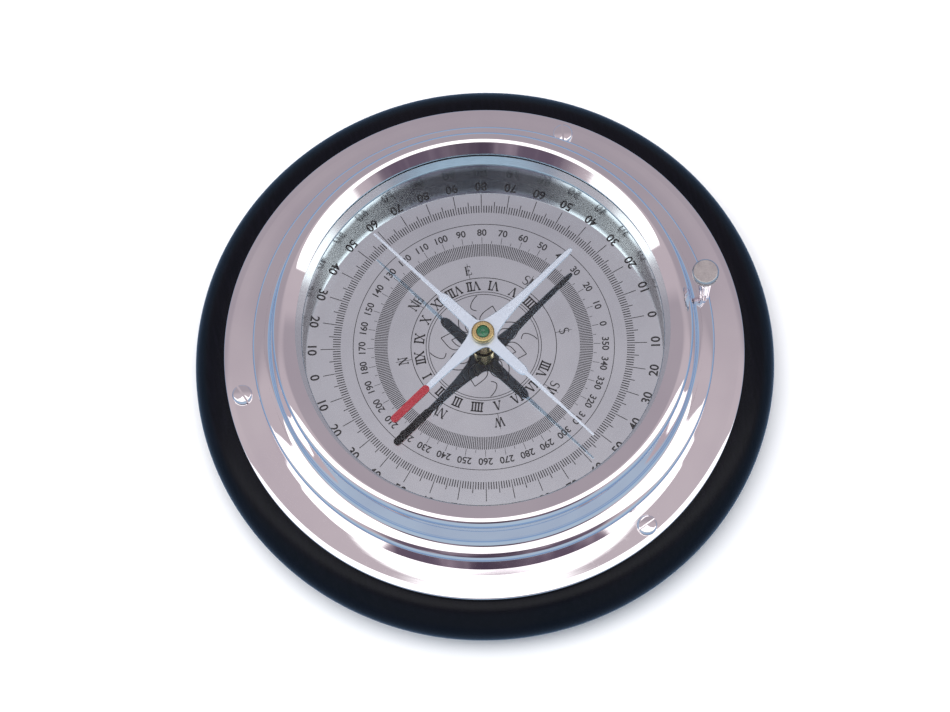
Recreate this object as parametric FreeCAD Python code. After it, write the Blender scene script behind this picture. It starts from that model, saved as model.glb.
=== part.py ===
import FreeCAD, Part
import math
import os

# A ship's desk compass: a plated brass case screwed to a round wooden base, with a
# mirror-bright dial, a four-armed needle on a steel pivot and a screw-down needle lock.
# Millimetres. +Z is up, +Y is the dial's north and +X its east. The origin is the centre
# of the underside, so the felt rests on the plane z = 0.

Z_AXIS = FreeCAD.Vector(0, 0, 1)
X_AXIS = FreeCAD.Vector(1, 0, 0)
FULL_TURN = 360.0

# driving dimensions
BASE_R = 76.2
FELT_R = 66.0
FELT_T = 1.0
WOOD_T = 15.0
FLANGE_R = 68.0
FLANGE_T = 1.6
DRUM_R = 60.1
DRUM_RISE = 7.8
BEZEL_RISE = 10.3
WINDOW_R = 48.5
DIAL_DROP = 5.05
DIAL_T = 1.0
LOCK_R = 58.5
SCREW_R = 64.2
SCREW_BEARINGS = (90.0, 210.0, 330.0)

# heights that follow from them
WOOD_TOP = FELT_T + WOOD_T
FLANGE_TOP = WOOD_TOP + FLANGE_T
SHOULDER_Z = FLANGE_TOP + DRUM_RISE
CREST_Z = SHOULDER_Z + BEZEL_RISE
DIAL_Z = SHOULDER_Z - DIAL_DROP

# wooden base
RECESS_R = 60.0
RECESS_FLOOR = 8.0
WOOD_FLAT_R = 69.5

# case casting
SPIGOT_OUT_R = 59.4
SPIGOT_IN_R = 57.4
SPIGOT_BOTTOM = 10.5
WEB_T = 2.0
BORE_R = 52.3
SEAT_R = 57.0
SEAT_RIM_Z = SHOULDER_Z + 0.57
FLANGE_LIP = (FLANGE_R, FLANGE_TOP - 0.55)
FLANGE_ROLL_MID = (FLANGE_R - 0.65, FLANGE_TOP - 0.24)
FLANGE_ROLL_END = (FLANGE_R - 1.8, FLANGE_TOP - 0.12)
DRUM_HEAD = (DRUM_R, SHOULDER_Z - 1.15)
DRUM_ROLL_MID = (DRUM_R - 0.25, SHOULDER_Z - 0.5)
DRUM_ROLL_END = (DRUM_R - 0.8, SHOULDER_Z - 0.05)
CROWN_MID = (DRUM_R - 1.7, SHOULDER_Z + 0.25)
CAVITY_R = 54.3
LEDGE_R = 48.5
LEDGE_T = 2.0
POCKET_HALF = 3.5
POCKET_R = 59.4
POCKET_BOTTOM = 13.5
LEDGE_TOP = DIAL_Z - DIAL_T
WEB_UNDER = SHOULDER_Z - WEB_T

# bezel
WALL_FOOT = (55.4, SHOULDER_Z + 2.1)
WALL_HEAD = (54.45, CREST_Z - 1.45)
CREST_R = 52.2
COVE_MID = (WALL_FOOT[0] + 0.5, WALL_FOOT[1] - 0.93)
HEAD_ROLL_MID = (CREST_R + 1.91, CREST_Z - 0.7)
HEAD_ROLL_END = (CREST_R + 1.35, CREST_Z - 0.28)
CREST_MID = (CREST_R + 0.71, CREST_Z - 0.08)
INNER_MID = (CREST_R - 2.0, CREST_Z - 0.37)
BEZEL_BORE_R = 52.15
THREAD_IN_R = 51.1
THREAD_OUT_R = 52.2
THREAD_DEPTH = 3.0
LIP_T = 0.7
LIP_UNDER = CREST_Z - 2.1

# glass, gasket, liner and dial
GLASS_R = 51.8
GLASS_T = 1.4
GLASS_EDGE = 0.3
GASKET_T = 0.6
GLASS_BOTTOM = LIP_UNDER - GLASS_T
GASKET_BOTTOM = GLASS_BOTTOM - GASKET_T
LINER_R = 46.4
LINER_FLARE_R = 48.6
LINER_FLARE_Z = GASKET_BOTTOM - 1.2
LINER_OUT_R = 50.8
GASKET_IN_R = 49.3
DIAL_R = 52.0
DIAL_HOLE_R = 3.0

# screws
FLANGE_SCREW_R = 1.4
FLANGE_SCREW_DEPTH = 9.0
FLANGE_HEAD_R = 2.65
FLANGE_HEAD_T = 1.2
FLANGE_HEAD_MID = (FLANGE_HEAD_R * 0.62, FLANGE_TOP + FLANGE_HEAD_T * 0.93)
SMALL_SCREW_R = 0.6
SMALL_HEAD_R = 1.1
SMALL_HEAD_T = 0.8
SLOT_TURNS = (112.0, 85.0, 23.0)
SLOT_HALF = 0.35
SMALL_SLOT_HALF = 0.2

# back plate
BACK_R = 59.3
BACK_T = 1.0
BACK_Z = SPIGOT_BOTTOM - BACK_T
BACK_SCREW_PITCH_R = 58.4
BACK_SCREW_DEPTH = 3.0
BACK_BEARINGS = (45.0, 135.0, 225.0, 315.0)

# pivot
POST_R = 1.5
POST_FOOT_R = 3.5
POST_FOOT_T = 1.0
POST_TOP = 28.0
POST_STUD_R = 1.0
NUT_FLATS = 4.0
NUT_T = 1.2
PIN_R = 0.4
PIN_TIP = 30.9
PIN_SEAT = 26.5
PIN_POINT = 0.8

# needle
NEEDLE_Z = DIAL_Z + 9.0
NEEDLE_T = 0.4
BLADE_BEARING = 124.6
BLADE_REACH = 33.2
RED_START = 20.2
RED_COAT = 0.1
BAR_REACH = 16.0
BAR_HALF = 1.4
BAR_END_HALF = 0.5
POINTER_REACH = 40.0
POINTER_ROOT = BAR_REACH - 2.5
POINTER_HALF = 0.6
POINTER_TIP_HALF = 0.12
CAP_R = 3.0
CAP_TOP = NEEDLE_Z + 2.25
STEM_R = 1.8
STEM_BOTTOM = 28.5
CAP_BORE_R = 0.9
JEWEL_R = 1.6
JEWEL_BOTTOM = PIN_TIP + 0.05

# needle lift
RUN_GAP = 0.05
SLEEVE_R = 2.6
SLEEVE_TOP = 28.2
COLLAR_R = 4.5
COLLAR_T = 0.6
LEVER_TOP = 16.6
LEVER_T = 1.0
LEVER_HALF = 2.2
LEVER_END_Y = -59.0
FORK_Y = -5.5
FORK_END_Y = 2.0
FORK_HALF = 3.9
FULCRUM_Y = -30.0
FULCRUM_Z = 15.0
BARREL_R = 1.6
LEVER_PIN_R = 0.75
EAR_GAP = 2.5
EAR_T = 1.0
EAR_HALF = 2.0
BRACKET_T = 0.8
BRACKET_REACH = 6.0
BRACKET_SCREW_REACH = 4.2
SHANK_R = 1.0
SHANK_END = 17.3
PAD_R = 0.8
PAD_T = 0.6
PAD_STEM_R = 0.45
PAD_STEM = 1.2
PAD_SOCKET = 1.5

# knob
KNOB_TOP = SHOULDER_Z + 19.5
HEAD_R = 3.45
HEAD_T = 2.6
HEAD_EDGE = 0.35
FLUTES = 36
FLUTE_DEPTH = 0.22
NECK_R = 1.75
NECK_STEP = 0.15
CONE_TOP_R = 1.5
CONE_RISE = 6.2
LOCK_TRAVEL = 0.4334
FOOT_GAP = LOCK_TRAVEL + 0.35


def vec(x, y, z):
    return FreeCAD.Vector(x, y, z)


def lathe(start, *steps):
    """Turn a closed outline about the Z axis.

    Each step is a corner (r, z), or a pair of points for an arc: one it passes and its end.
    """
    edges = []
    here = start
    for step in steps + (start,):
        if step == here:
            continue
        if isinstance(step[0], tuple):
            middle, there = step
            arc = Part.Arc(vec(here[0], 0, here[1]), vec(middle[0], 0, middle[1]),
                           vec(there[0], 0, there[1]))
            edges.append(arc.toShape())
        else:
            there = step
            edges.append(Part.makeLine(vec(here[0], 0, here[1]), vec(there[0], 0, there[1])))
        here = there
    return Part.Face(Part.Wire(edges)).revolve(vec(0, 0, 0), Z_AXIS, FULL_TURN)


def disc(radius, bottom, top, x=0.0, y=0.0):
    return Part.makeCylinder(radius, top - bottom, vec(x, y, bottom))


def tube(outer, inner, bottom, top):
    return disc(outer, bottom, top).cut(disc(inner, bottom, top))


def block(low, high):
    return Part.makeBox(high[0] - low[0], high[1] - low[1], high[2] - low[2], vec(*low))


def plate(points, bottom, thickness):
    """A flat plate from its outline in plan."""
    outline = [vec(x, y, bottom) for x, y in points]
    wire = Part.makePolygon(outline + outline[:1])
    return Part.Face(wire).extrude(vec(0, 0, thickness))


def turned(shape, degrees):
    copy = shape.copy()
    copy.rotate(vec(0, 0, 0), Z_AXIS, degrees)
    return copy


def around(shape, bearings):
    """Copies of a shape built on +X, one turned to each bearing."""
    return Part.makeCompound([turned(shape, bearing) for bearing in bearings])


def mirrored_pair(shape):
    """A shape and its half-turn copy, in one compound."""
    return around(shape, (0.0, 180.0))


def save(name, shape):
    shape.exportStep("parts/" + name + ".step")
    print(name, "solids", len(shape.Solids), "volume", round(shape.Volume, 2), shape.isValid())


# ---- base ----

def felt_pad():
    return disc(FELT_R, 0, FELT_T)


def wood_base():
    middle = (FELT_T + WOOD_TOP) / 2
    wood = lathe((0, FELT_T), (WOOD_FLAT_R, FELT_T),
                 ((BASE_R, middle), (WOOD_FLAT_R, WOOD_TOP)),
                 (RECESS_R, WOOD_TOP), (RECESS_R, RECESS_FLOOR), (0, RECESS_FLOOR))
    pilot = disc(FLANGE_SCREW_R, WOOD_TOP - FLANGE_SCREW_DEPTH, WOOD_TOP, SCREW_R)
    return wood.cut(around(pilot, SCREW_BEARINGS))


def flange_screws():
    """Round-headed slotted screws through the flange into the wood."""
    screws = []
    for bearing, slot_turn in zip(SCREW_BEARINGS, SLOT_TURNS):
        shank = disc(FLANGE_SCREW_R, WOOD_TOP - FLANGE_SCREW_DEPTH, FLANGE_TOP)
        head = lathe((0, FLANGE_TOP), (FLANGE_HEAD_R, FLANGE_TOP),
                     (FLANGE_HEAD_R, FLANGE_TOP + FLANGE_HEAD_T / 2),
                     (FLANGE_HEAD_MID, (0, FLANGE_TOP + FLANGE_HEAD_T)))
        slot = block((-FLANGE_HEAD_R, -SLOT_HALF, FLANGE_TOP + FLANGE_HEAD_T / 2),
                     (FLANGE_HEAD_R, SLOT_HALF, FLANGE_TOP + FLANGE_HEAD_T))
        screw = shank.fuse(head).cut(turned(slot, slot_turn)).removeSplitter()
        screw.translate(vec(SCREW_R, 0, 0))
        screws.append(turned(screw, bearing))
    return Part.makeCompound(screws)


# ---- case ----

def case_ring():
    ledge_under = LEDGE_TOP - LEDGE_T
    ring = lathe((SPIGOT_OUT_R, SPIGOT_BOTTOM), (SPIGOT_OUT_R, WOOD_TOP), (FLANGE_R, WOOD_TOP),
                 FLANGE_LIP, (FLANGE_ROLL_MID, FLANGE_ROLL_END),
                 (DRUM_R, FLANGE_TOP), DRUM_HEAD, (DRUM_ROLL_MID, DRUM_ROLL_END),
                 (CROWN_MID, (SEAT_R, SEAT_RIM_Z)),
                 (SEAT_R, SHOULDER_Z), (BORE_R, SHOULDER_Z),
                 (BORE_R, LEDGE_TOP), (LEDGE_R, LEDGE_TOP), (LEDGE_R, ledge_under),
                 (CAVITY_R, ledge_under), (CAVITY_R, WEB_UNDER),
                 (SPIGOT_IN_R, WEB_UNDER), (SPIGOT_IN_R, SPIGOT_BOTTOM))
    pocket = disc(POCKET_R, POCKET_BOTTOM, WEB_UNDER)
    pocket = pocket.common(block((-POCKET_HALF, -BASE_R, POCKET_BOTTOM),
                                 (POCKET_HALF, -CAVITY_R, WEB_UNDER)))
    lock_hole = disc(SHANK_R + RUN_GAP, WOOD_TOP, CREST_Z, 0, -LOCK_R)
    screw_hole = disc(FLANGE_SCREW_R, WOOD_TOP, FLANGE_TOP, SCREW_R)
    plate_hole = disc(SMALL_SCREW_R, SPIGOT_BOTTOM, SPIGOT_BOTTOM + BACK_SCREW_DEPTH,
                      BACK_SCREW_PITCH_R)
    ring = ring.cut(pocket).cut(lock_hole)
    ring = ring.cut(around(screw_hole, SCREW_BEARINGS))
    return ring.cut(around(plate_hole, BACK_BEARINGS))


def bezel_ring():
    """A hollow foot, a wall that leans in and a rounded crest over the glass."""
    lip_top = (WINDOW_R, LIP_UNDER + LIP_T)
    return lathe((SEAT_R, SHOULDER_Z), (SEAT_R, SEAT_RIM_Z),
                 (COVE_MID, WALL_FOOT), WALL_HEAD, (HEAD_ROLL_MID, HEAD_ROLL_END),
                 (CREST_MID, (CREST_R, CREST_Z)), (INNER_MID, lip_top),
                 (WINDOW_R, LIP_UNDER), (BEZEL_BORE_R, LIP_UNDER),
                 (BEZEL_BORE_R, GASKET_BOTTOM), (THREAD_IN_R, GASKET_BOTTOM),
                 (THREAD_IN_R, SHOULDER_Z - THREAD_DEPTH),
                 (THREAD_OUT_R, SHOULDER_Z - THREAD_DEPTH), (THREAD_OUT_R, SHOULDER_Z))


def back_plate():
    sheet = disc(BACK_R, BACK_Z, SPIGOT_BOTTOM).cut(disc(POST_STUD_R, BACK_Z, SPIGOT_BOTTOM))
    hole = disc(SMALL_SCREW_R, BACK_Z, SPIGOT_BOTTOM, BACK_SCREW_PITCH_R)
    return sheet.cut(around(hole, BACK_BEARINGS))


def small_screw(under_head, depth, points_up):
    """A small cheese-head screw on the Z axis, its head below or above its shank."""
    if points_up:
        shank = disc(SMALL_SCREW_R, under_head, under_head + depth)
        head = disc(SMALL_HEAD_R, under_head - SMALL_HEAD_T, under_head)
        slot_z = under_head - SMALL_HEAD_T
    else:
        shank = disc(SMALL_SCREW_R, under_head - depth, under_head)
        head = disc(SMALL_HEAD_R, under_head, under_head + SMALL_HEAD_T)
        slot_z = under_head + SMALL_HEAD_T / 2
    slot = block((-SMALL_HEAD_R, -SMALL_SLOT_HALF, slot_z),
                 (SMALL_HEAD_R, SMALL_SLOT_HALF, slot_z + SMALL_HEAD_T / 2))
    return shank.fuse(head).cut(slot).removeSplitter()


def back_plate_screws():
    screw = small_screw(BACK_Z, BACK_T + BACK_SCREW_DEPTH, True)
    screw.translate(vec(BACK_SCREW_PITCH_R, 0, 0))
    return around(screw, BACK_BEARINGS)


# ---- dial and window ----

def dial_plate():
    return tube(DIAL_R, DIAL_HOLE_R, LEDGE_TOP, DIAL_Z)


def dial_liner():
    """Upright at its foot, with a flared rim under the glass."""
    return lathe((LINER_R, DIAL_Z), (LINER_OUT_R, DIAL_Z), (LINER_OUT_R, GASKET_BOTTOM),
                 (LINER_FLARE_R, GASKET_BOTTOM), (LINER_R, LINER_FLARE_Z))


def glass_gasket():
    return tube(GLASS_R, GASKET_IN_R, GASKET_BOTTOM, GLASS_BOTTOM)


def cover_glass():
    flat_r = GLASS_R - GLASS_EDGE
    return lathe((0, GLASS_BOTTOM), (flat_r, GLASS_BOTTOM), (GLASS_R, GLASS_BOTTOM + GLASS_EDGE),
                 (GLASS_R, LIP_UNDER - GLASS_EDGE), (flat_r, LIP_UNDER), (0, LIP_UNDER))


# ---- pivot ----

def pivot_post():
    post = lathe((0, BACK_Z - NUT_T), (POST_STUD_R, BACK_Z - NUT_T), (POST_STUD_R, SPIGOT_BOTTOM),
                 (POST_FOOT_R, SPIGOT_BOTTOM), (POST_FOOT_R, SPIGOT_BOTTOM + POST_FOOT_T),
                 (POST_R, SPIGOT_BOTTOM + POST_FOOT_T), (POST_R, POST_TOP), (0, POST_TOP))
    return post.cut(disc(PIN_R, PIN_SEAT, POST_TOP))


def pivot_pin():
    return lathe((0, PIN_SEAT), (PIN_R, PIN_SEAT), (PIN_R, PIN_TIP - PIN_POINT), (0, PIN_TIP))


def pivot_nut():
    corner_r = NUT_FLATS / math.sqrt(3)
    corners = [(corner_r * math.cos(math.radians(60 * i)),
                corner_r * math.sin(math.radians(60 * i))) for i in range(6)]
    nut = plate(corners, BACK_Z - NUT_T, NUT_T)
    return nut.cut(disc(POST_STUD_R, BACK_Z - NUT_T, BACK_Z))


# ---- needle ----

def needle_blade():
    """The broad pair of arms: wide at the hub, hollow-sided, with parallel ends."""
    half_arm = [(1.5, 3.6), (3.5, 2.85), (6.5, 1.95), (10.5, 1.3), (15.0, 1.0),
                (RED_START, 0.9), (BLADE_REACH - 0.9, 0.8), (BLADE_REACH, 0.35)]
    upper = half_arm[::-1] + [(-x, y) for x, y in half_arm]
    outline = upper + [(-x, -y) for x, y in upper]
    blade = plate(outline, NEEDLE_Z, NEEDLE_T).cut(disc(STEM_R, NEEDLE_Z, CAP_TOP))
    return turned(blade, BLADE_BEARING)


def needle_red_tip():
    """The red enamel that wraps the marked end of the blade."""
    low = NEEDLE_Z - RED_COAT
    coat = plate([(RED_START, 1.05), (RED_START, -1.05), (BLADE_REACH - 0.8, -0.95),
                  (BLADE_REACH + RED_COAT, -0.45), (BLADE_REACH + RED_COAT, 0.45),
                  (BLADE_REACH - 0.8, 0.95)], low, NEEDLE_T + 2 * RED_COAT)
    return turned(coat, BLADE_BEARING).cut(needle_blade())


def cross_bar():
    """The short flat bar square to the blade and under it, with a round eye at its middle."""
    bottom = NEEDLE_Z - NEEDLE_T
    end = BAR_REACH - BAR_HALF
    arm = [(end, BAR_HALF), (BAR_REACH, BAR_END_HALF), (BAR_REACH, -BAR_END_HALF),
           (end, -BAR_HALF)]
    bar = plate(arm + [(-x, -y) for x, y in arm], bottom, NEEDLE_T)
    bar = bar.fuse(disc(CAP_R, bottom, NEEDLE_Z)).removeSplitter()
    return turned(bar.cut(disc(STEM_R, bottom, NEEDLE_Z)), BLADE_BEARING + 90)


def cross_pointers():
    """Two fine pointers riveted on top of the bar's ends."""
    pointer = plate([(POINTER_ROOT, POINTER_HALF), (POINTER_ROOT, -POINTER_HALF),
                     (POINTER_REACH, -POINTER_TIP_HALF), (POINTER_REACH, POINTER_TIP_HALF)],
                    NEEDLE_Z, NEEDLE_T / 2)
    return turned(mirrored_pair(pointer), BLADE_BEARING + 90)


def hub_cap():
    top_edge = 0.3
    return lathe((CAP_BORE_R, STEM_BOTTOM), (STEM_R, STEM_BOTTOM), (STEM_R, NEEDLE_Z + NEEDLE_T),
                 (CAP_R, NEEDLE_Z + NEEDLE_T), (CAP_R, CAP_TOP - top_edge),
                 (CAP_R - top_edge, CAP_TOP), (JEWEL_R, CAP_TOP), (JEWEL_R, JEWEL_BOTTOM),
                 (CAP_BORE_R, JEWEL_BOTTOM))


def jewel():
    rim_drop = 0.25
    face_drop = 0.05
    face_r = JEWEL_R * 0.65
    return lathe((0, JEWEL_BOTTOM), (JEWEL_R, JEWEL_BOTTOM), (JEWEL_R, CAP_TOP - rim_drop),
                 (face_r, CAP_TOP - face_drop), (0, CAP_TOP - face_drop))


# ---- needle lift ----

def lift_sleeve():
    inner = POST_R + RUN_GAP
    bottom = LEVER_TOP + RUN_GAP
    return lathe((inner, bottom), (COLLAR_R, bottom), (COLLAR_R, bottom + COLLAR_T),
                 (SLEEVE_R, bottom + COLLAR_T), (SLEEVE_R, SLEEVE_TOP), (inner, SLEEVE_TOP))


def lift_lever():
    """A flat lever with a barrel at its fulcrum and a fork round the post."""
    bottom = LEVER_TOP - LEVER_T
    inner = POST_R + 0.5
    arm = block((-LEVER_HALF, LEVER_END_Y, bottom), (LEVER_HALF, FORK_Y, LEVER_TOP))
    fork = block((-FORK_HALF, FORK_Y - 2.0, bottom), (FORK_HALF, FORK_END_Y, LEVER_TOP))
    fork = fork.cut(block((-inner, -inner, bottom), (inner, FORK_END_Y, LEVER_TOP)))
    fork = fork.cut(disc(inner, bottom, LEVER_TOP))
    barrel = Part.makeCylinder(BARREL_R, 2 * LEVER_HALF, vec(-LEVER_HALF, FULCRUM_Y, FULCRUM_Z),
                               X_AXIS)
    bore = Part.makeCylinder(LEVER_PIN_R + RUN_GAP, 2 * LEVER_HALF,
                             vec(-LEVER_HALF, FULCRUM_Y, FULCRUM_Z), X_AXIS)
    return arm.fuse(fork).fuse(barrel).cut(bore).removeSplitter()


def lever_pin():
    half = EAR_GAP + EAR_T
    return Part.makeCylinder(LEVER_PIN_R, 2 * half, vec(-half, FULCRUM_Y, FULCRUM_Z), X_AXIS)


def lever_bracket():
    """A folded bracket: a foot on the back plate and an ear each side of the lever."""
    half = EAR_GAP + EAR_T
    foot_top = SPIGOT_BOTTOM + BRACKET_T
    foot = block((-half, FULCRUM_Y - BRACKET_REACH, SPIGOT_BOTTOM),
                 (half, FULCRUM_Y + BRACKET_REACH, foot_top))
    ears = []
    for side in (-half, EAR_GAP):
        ear = block((side, FULCRUM_Y - EAR_HALF, foot_top),
                    (side + EAR_T, FULCRUM_Y + EAR_HALF, FULCRUM_Z))
        top = Part.makeCylinder(EAR_HALF, EAR_T, vec(side, FULCRUM_Y, FULCRUM_Z), X_AXIS)
        ears.append(ear.fuse(top))
    bracket = foot.fuse(ears[0]).fuse(ears[1])
    bracket = bracket.cut(lever_pin())
    for reach in (-BRACKET_SCREW_REACH, BRACKET_SCREW_REACH):
        hole = disc(SMALL_SCREW_R, SPIGOT_BOTTOM, foot_top, 0, FULCRUM_Y + reach)
        bracket = bracket.cut(hole)
    return bracket.removeSplitter()


def bracket_screws():
    screws = []
    for reach in (-BRACKET_SCREW_REACH, BRACKET_SCREW_REACH):
        screw = small_screw(SPIGOT_BOTTOM + BRACKET_T, BRACKET_T, False)
        screw.translate(vec(0, FULCRUM_Y + reach, 0))
        screws.append(screw)
    return Part.makeCompound(screws)


def thrust_pad():
    bottom = LEVER_TOP + RUN_GAP
    pad = disc(PAD_R, bottom, bottom + PAD_T, 0, -LOCK_R)
    stem = disc(PAD_STEM_R, bottom, bottom + PAD_T + PAD_STEM, 0, -LOCK_R)
    return pad.fuse(stem).removeSplitter()


def lock_screw():
    """The threaded shank, its cone and neck, up into the knob's head."""
    head_under = KNOB_TOP - HEAD_T
    cone_foot = SHOULDER_Z + FOOT_GAP
    cone_top = cone_foot + CONE_RISE
    shank = lathe((0, SHANK_END), (SHANK_R, SHANK_END), (SHANK_R, cone_foot),
                  (CONE_TOP_R, cone_top), (NECK_R - NECK_STEP, cone_top), (NECK_R, head_under),
                  (0, head_under))
    shank.translate(vec(0, -LOCK_R, 0))
    return shank.cut(disc(PAD_STEM_R + RUN_GAP, SHANK_END, SHANK_END + PAD_SOCKET, 0, -LOCK_R))


def lock_knob():
    """The fluted head, with a plain disc face and a relieved underside."""
    bottom = KNOB_TOP - HEAD_T
    outline = []
    for i in range(2 * FLUTES):
        radius = HEAD_R - FLUTE_DEPTH * (i % 2)
        angle = math.pi * i / FLUTES
        outline.append((radius * math.cos(angle), radius * math.sin(angle)))
    head = plate(outline, bottom, HEAD_T)
    envelope = lathe((0, bottom), (HEAD_R - HEAD_EDGE, bottom), (HEAD_R, bottom + HEAD_EDGE),
                     (HEAD_R, KNOB_TOP - HEAD_EDGE), (HEAD_R - HEAD_EDGE, KNOB_TOP),
                     (0, KNOB_TOP))
    head = head.common(envelope)
    head.translate(vec(0, -LOCK_R, 0))
    return head


NODES = (felt_pad, wood_base, flange_screws, case_ring, bezel_ring, back_plate,
         back_plate_screws, dial_plate, dial_liner, glass_gasket, cover_glass, pivot_post,
         pivot_pin, pivot_nut, needle_blade, needle_red_tip, cross_bar, cross_pointers, hub_cap,
         jewel, lift_sleeve, lift_lever, lever_pin, lever_bracket, bracket_screws, thrust_pad,
         lock_screw, lock_knob)

os.makedirs("parts", exist_ok=True)
for make in NODES:
    save(make.__name__, make())
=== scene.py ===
import math

import bmesh
import bpy
from mathutils import Matrix, Vector


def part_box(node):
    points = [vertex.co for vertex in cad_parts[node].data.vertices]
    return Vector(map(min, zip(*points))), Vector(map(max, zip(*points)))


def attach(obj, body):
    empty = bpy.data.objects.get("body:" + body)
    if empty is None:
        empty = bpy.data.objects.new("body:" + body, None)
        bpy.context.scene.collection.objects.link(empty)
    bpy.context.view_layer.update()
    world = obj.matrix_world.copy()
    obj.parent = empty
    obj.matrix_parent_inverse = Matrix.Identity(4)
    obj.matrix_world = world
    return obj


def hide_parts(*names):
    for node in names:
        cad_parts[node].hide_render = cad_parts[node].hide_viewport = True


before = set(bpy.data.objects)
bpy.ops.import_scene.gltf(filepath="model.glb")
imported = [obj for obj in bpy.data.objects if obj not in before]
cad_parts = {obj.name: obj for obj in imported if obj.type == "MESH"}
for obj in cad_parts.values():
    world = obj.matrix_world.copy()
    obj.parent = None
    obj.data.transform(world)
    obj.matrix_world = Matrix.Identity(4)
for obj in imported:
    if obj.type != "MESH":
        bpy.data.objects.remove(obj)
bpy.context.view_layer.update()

MM = 0.001
ROUND = 256

# ---- sizes read from the frame, in millimetres ----


def low(node):
    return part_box(node)[0] / MM


def high(node):
    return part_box(node)[1] / MM


BASE_R = min(high("wood_base").x, high("wood_base").y) - 0.02
WOOD_TOP = high("wood_base").z
FELT_TOP = high("felt_pad").z
FELT_R = min(high("felt_pad").x, high("felt_pad").y)
FLANGE_R = min(high("case_ring").x, high("case_ring").y)
SHOULDER_Z = high("case_ring").z - 0.57
CREST_Z = high("bezel_ring").z
SEAT_R = 57.0
SEAT_RIM_Z = 25.97
FLANGE_TOP = WOOD_TOP + 1.6
WINDOW_R = 48.5
LIP_UNDER = high("cover_glass").z
GLASS_UNDER = low("cover_glass").z
GLASS_R = min(high("cover_glass").x, high("cover_glass").y)
DIAL_Z = high("dial_plate").z
DIAL_R = 49.6
LINER_TOP = high("dial_liner").z
LINER_R = 46.9
LINER_FLARE_R = 48.9
LINER_FLARE_Z = LINER_TOP - 1.0
NEEDLE_Z = low("needle_blade").z
CAP_TOP = high("hub_cap").z
KNOB_AT = (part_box("lock_knob")[0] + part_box("lock_knob")[1]) / 2 / MM
KNOB_R = (high("lock_knob").x - low("lock_knob").x) / 2
KNOB_TOP = high("lock_knob").z
KNOB_UNDER = low("lock_knob").z
BLADE_BEARING = 124.6
SCREW_PITCH_R = 64.2
WOOD_FLAT_R = 69.5
RECESS_R = 60.0
RECESS_FLOOR = 8.0
SPIGOT_OUT_R = 59.4
SPIGOT_IN_R = 57.4
SPIGOT_FOOT = 10.5
WEB_UNDER = 17.0
CASE_BORE_R = 52.3
CREST_R = 52.2
BEZEL_BORE_R = 52.15
LINER_OUT_R = 50.8
DIAL_HOLE_R = 3.0
DIAL_T = 0.95
SCREW_HEAD_R = 2.65
SCREW_HEAD_RISE = 1.2
SCREW_SLOT_HALF = 0.26
SCREW_SLOTS = (112.0, 85.0, 23.0)
NEEDLE_T = 0.4
POINTER_T = 0.22
STEM_R = 1.8
STEM_FOOT = 28.6
STEM_BORE_R = 0.9
HUB_R = 3.0
JEWEL_R = 1.6
SHANK_R = 1.0
SHANK_FOOT = 17.3
SCREW_BEARINGS = (90.0, 210.0, 330.0)


# ---- shader wiring ----

class Wire:
    """A shader value that Python's arithmetic works on. Each operation adds a Math node."""

    def __init__(self, bench, link):
        self.bench = bench
        self.link = link

    def maths(self, operation, *values):
        return self.bench.add("ShaderNodeMath", {"operation": operation},
                              dict(enumerate(values)))

    def __add__(self, other):
        return self.maths("ADD", self, other)

    def __radd__(self, other):
        return self.maths("ADD", other, self)

    def __sub__(self, other):
        return self.maths("SUBTRACT", self, other)

    def __rsub__(self, other):
        return self.maths("SUBTRACT", other, self)

    def __mul__(self, other):
        return self.maths("MULTIPLY", self, other)

    def __rmul__(self, other):
        return self.maths("MULTIPLY", other, self)

    def __pow__(self, other):
        return self.maths("POWER", self, other)


class Bench:
    """Where one node tree is put together."""

    def __init__(self, tree):
        self.tree = tree
        tree.nodes.clear()

    def add(self, kind, settings=None, sockets=None, out=0):
        node = self.tree.nodes.new(kind)
        for key, value in (settings or {}).items():
            if key == "stops":
                self.set_stops(node.color_ramp, value)
            else:
                setattr(node, key, value)
        for key, value in (sockets or {}).items():
            if isinstance(value, Wire):
                self.tree.links.new(value.link, node.inputs[key])
            else:
                node.inputs[key].default_value = value
        return Wire(self, node.outputs[out])

    def set_stops(self, ramp, stops):
        while len(ramp.elements) > 1:
            ramp.elements.remove(ramp.elements[-1])
        ramp.elements[0].position, ramp.elements[0].color = stops[0]
        for place, colour in stops[1:]:
            ramp.elements.new(place).color = colour

    def place(self):
        """The point being shaded, in metres."""
        return self.add("ShaderNodeTexCoord", out="Object")

    def axes(self, vector):
        return [self.add("ShaderNodeSeparateXYZ", None, {0: vector}, out=i) for i in range(3)]

    def join(self, x, y, z):
        return self.add("ShaderNodeCombineXYZ", None, {0: x, 1: y, 2: z})

    def noise(self, vector, scale, detail=3.0, rough=0.5):
        return self.add("ShaderNodeTexNoise", None,
                        {"Vector": vector, "Scale": scale, "Detail": detail,
                         "Roughness": rough})

    def blend(self, share, under, over):
        """Colour under where share is 0 and over where it is 1."""
        return self.add("ShaderNodeMix", {"data_type": "RGBA"},
                        {0: share, 6: under, 7: over}, out=2)

    def ease(self, value, start, end, low_out=0.0, high_out=1.0):
        """A smooth step of value from start to end."""
        return self.add("ShaderNodeMapRange", {"interpolation_type": "SMOOTHSTEP"},
                        {0: value, 1: start, 2: end, 3: low_out, 4: high_out})

    def bump(self, height, strength, distance):
        return self.add("ShaderNodeBump", None,
                        {"Height": height, "Strength": strength, "Distance": distance},
                        out="Normal")

    def shader(self, sockets):
        return self.add("ShaderNodeBsdfPrincipled", None, sockets)

    def output(self, surface):
        self.add_output("ShaderNodeOutputMaterial", surface)

    def add_output(self, kind, surface):
        node = self.tree.nodes.new(kind)
        self.tree.links.new(surface.link, node.inputs["Surface"])


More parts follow.
